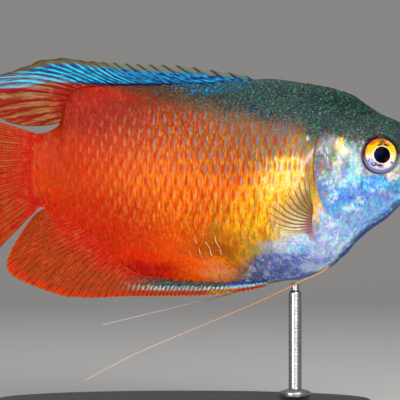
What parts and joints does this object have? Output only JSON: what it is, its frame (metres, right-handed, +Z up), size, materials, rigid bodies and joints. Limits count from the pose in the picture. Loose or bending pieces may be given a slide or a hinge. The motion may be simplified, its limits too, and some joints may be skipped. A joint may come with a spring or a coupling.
{
  "type": "dwarf gourami model",
  "caption": "Life-size still model of a deep-bodied, flat-sided aquarium fish with ribbed fins and long thread-like pelvic fins, on an oval base with a rod.",
  "frame": {"origin": "centre of the bounding box in X and Y, on the underside of the stand's base", "axes": "+X towards the snout, +Y to the fish's left, +Z up"},
  "size_m": [0.0752, 0.03, 0.0563],
  "materials": {
    "body_skin": "wet, scaled skin, orange-red with blue-grey scale marks and a dark green back",
    "face_skin": "silvery blue gill cover and cheek under a dark green forehead",
    "eye": "clear glossy eye, golden iris and blue-black pupil",
    "blue_fin": "thin membrane, turquoise streaks along the rays",
    "red_fin": "thin membrane, deep orange-red with darker rays",
    "clear_fin": "almost clear membrane with fine yellow-brown rays",
    "filament": "smooth thread, orange fading to white",
    "stand_base": "satin black",
    "stand_rod": "fine brushed along the rod"
  },
  "bodies": {
    "root": {"head": "face_skin", "torso": "body_skin", "tail": "body_skin", "eye_R": "eye", "eye_L": "eye", "dorsal_fin": "blue_fin", "anal_fin": "red_fin", "caudal_fin": "red_fin", "pectoral_fin_R": "clear_fin", "pectoral_fin_L": "clear_fin", "pelvic_filament_R": "filament", "pelvic_filament_L": "filament", "stand_base": "stand_base", "stand_rod": "stand_rod"}
  },
  "joints": []
}
